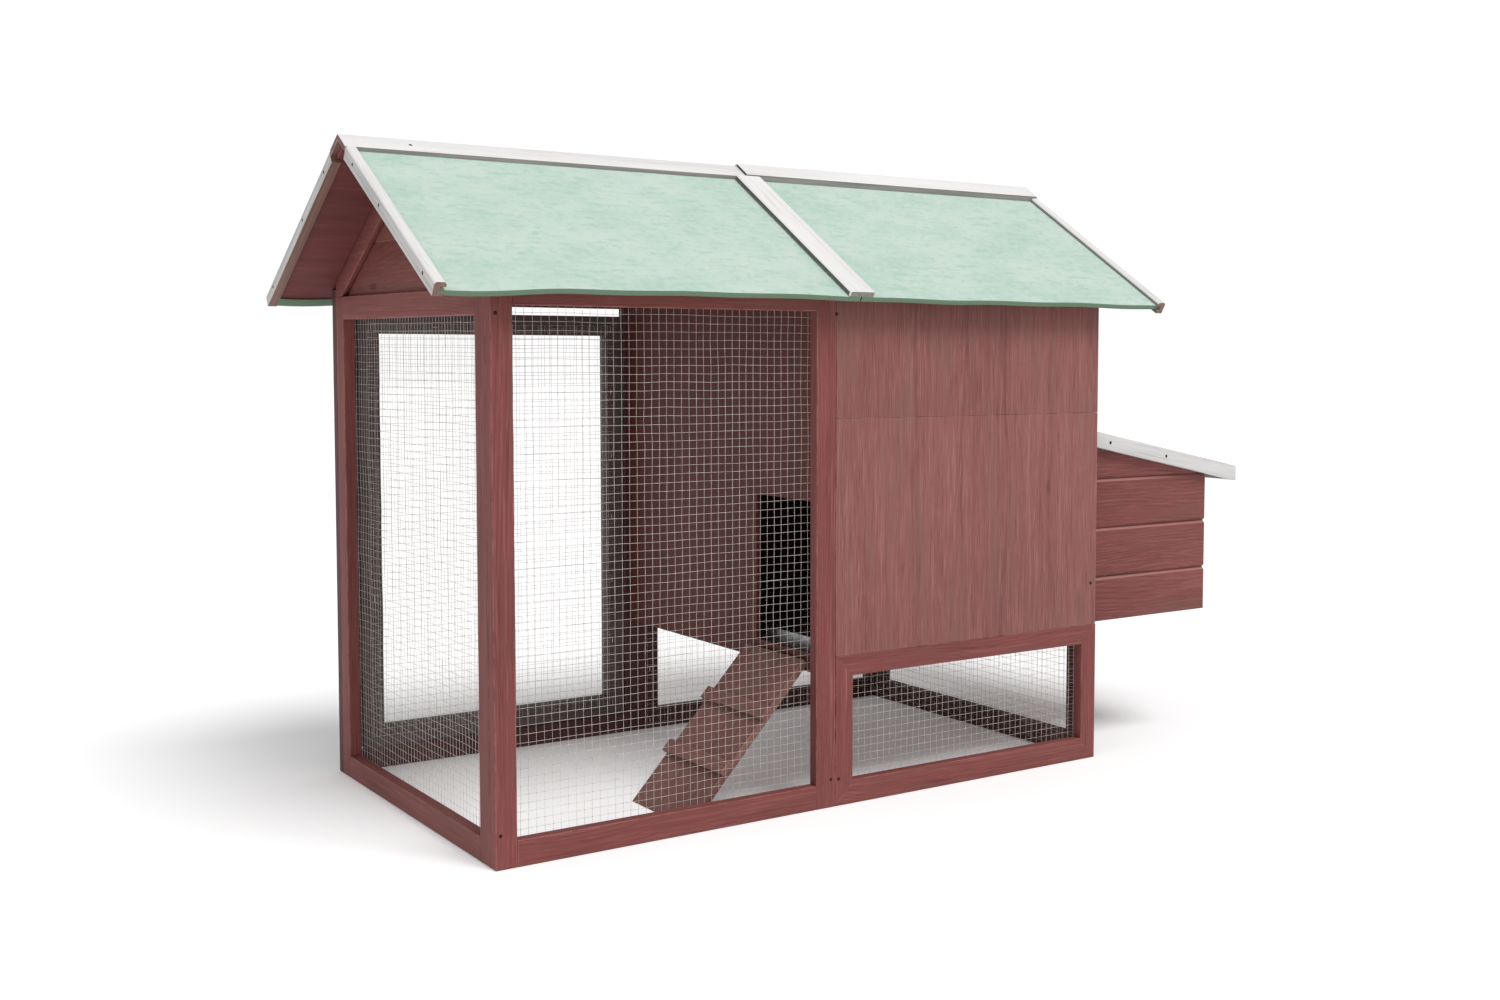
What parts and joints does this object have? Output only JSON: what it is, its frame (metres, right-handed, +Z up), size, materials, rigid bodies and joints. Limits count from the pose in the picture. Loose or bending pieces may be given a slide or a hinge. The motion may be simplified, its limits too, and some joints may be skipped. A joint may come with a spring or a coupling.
{
  "type": "chicken coop",
  "caption": "Wooden chicken coop: open mesh run with a door, raised house with ramp and pop-hole, nest box with lifting lid, droppings tray, felted gable roof.",
  "frame": {"origin": "on the ground, under the middle of the coop's overall length and depth", "axes": "+X along the ridge from the run to the nest box, +Y from the meshed front to the back with the run door, +Z up"},
  "size_m": [1.6998, 0.8102, 1.0994],
  "materials": {
    "red_stain": "matt red-brown stain on planed softwood",
    "stained_ply": "matt red-brown stain on brushed plywood",
    "dark_stain": "matt grey-brown stain on planed softwood",
    "white_paint": "satin white paint on wood",
    "green_felt": "mineral green roofing felt over board",
    "galvanised_wire": "galvanised welded wire mesh",
    "galvanised_sheet": "galvanised sheet",
    "zinc_steel": "zinc-plated steel"
  },
  "bodies": {
    "coop": {"back_base_rail": "red_stain", "back_centre_post": "red_stain", "back_left_post": "red_stain", "back_top_rail": "red_stain", "door_hinge_lower_post_leaf": "zinc_steel", "door_hinge_upper_post_leaf": "zinc_steel", "end_base_rail": "red_stain", "end_far_stile": "red_stain", "end_near_stile": "red_stain", "end_run_mesh": "galvanised_wire", "end_top_rail": "red_stain", "front_base_rail": "red_stain", "front_centre_post": "red_stain", "front_left_stile": "red_stain", "front_run_mesh": "galvanised_wire", "front_top_rail": "red_stain", "gable_trim_back_left": "white_paint", "gable_trim_back_right": "white_paint", "gable_trim_front_left": "white_paint", "gable_trim_front_right": "white_paint", "house_back_panel": "stained_ply", "house_floor": "stained_ply", "house_front_panel": "stained_ply", "joint_batten_back": "white_paint", "joint_batten_front": "white_paint", "left_gable": "red_stain", "lid_hinge_back": "zinc_steel", "lid_hinge_front": "zinc_steel", "lower_back_frame": "red_stain", "lower_back_mesh": "galvanised_wire", "lower_front_frame": "red_stain", "lower_front_mesh": "galvanised_wire", "nest_back_side": "red_stain", "nest_end_wall": "red_stain", "nest_floor": "stained_ply", "nest_front_side": "red_stain", "partition_wall": "stained_ply", "ridge_board_back_left": "white_paint", "ridge_board_back_right": "white_paint", "ridge_board_front_left": "white_paint", "ridge_board_front_right": "white_paint", "right_base_rail": "red_stain", "right_end_wall": "stained_ply", "right_far_stile": "red_stain", "right_lower_mesh": "galvanised_wire", "right_near_stile": "red_stain", "roof_sheet_back_left": "green_felt", "roof_sheet_back_right": "green_felt", "roof_sheet_front_left": "green_felt", "roof_sheet_front_right": "green_felt"},
    "run_door": {"door_frame": "dark_stain", "door_mesh": "galvanised_wire", "door_hinge_lower_door_leaf": "zinc_steel", "door_hinge_upper_door_leaf": "zinc_steel"},
    "turn_button": {"turn_button": "red_stain"},
    "nest_lid": {"nest_lid": "green_felt"},
    "tray": {"tray": "galvanised_sheet"},
    "ramp": {"ramp_board": "red_stain", "ramp_cleat_upper": "red_stain", "ramp_cleat_lower": "red_stain"}
  },
  "joints": [
    {"name": "run_door_hinge", "type": "hinge", "parent": "coop", "child": "run_door", "pos_m": [-0.7152, 0.3585, 0.43277], "axis": [0, 0, 1], "range_deg": [0, 110]},
    {"name": "turn_button_pivot", "type": "hinge", "parent": "coop", "child": "turn_button", "pos_m": [-0.17, 0.355, 0.43277], "axis": [0, 1, 0], "range_deg": [-90, 90]},
    {"name": "nest_lid_hinge", "type": "hinge", "parent": "coop", "child": "nest_lid", "pos_m": [0.4415, 0, 0.6205], "axis": [0, -1, 0], "range_deg": [0, 65]},
    {"name": "tray_slide", "type": "slide", "parent": "coop", "child": "tray", "axis": [0, 1, 0], "range_m": [0, 0.55]},
    {"name": "ramp_hinge", "type": "hinge", "parent": "coop", "child": "ramp", "pos_m": [-0.18917, -0.2235, 0.247], "axis": [0, 1, 0], "range_deg": [0, 130]}
  ]
}
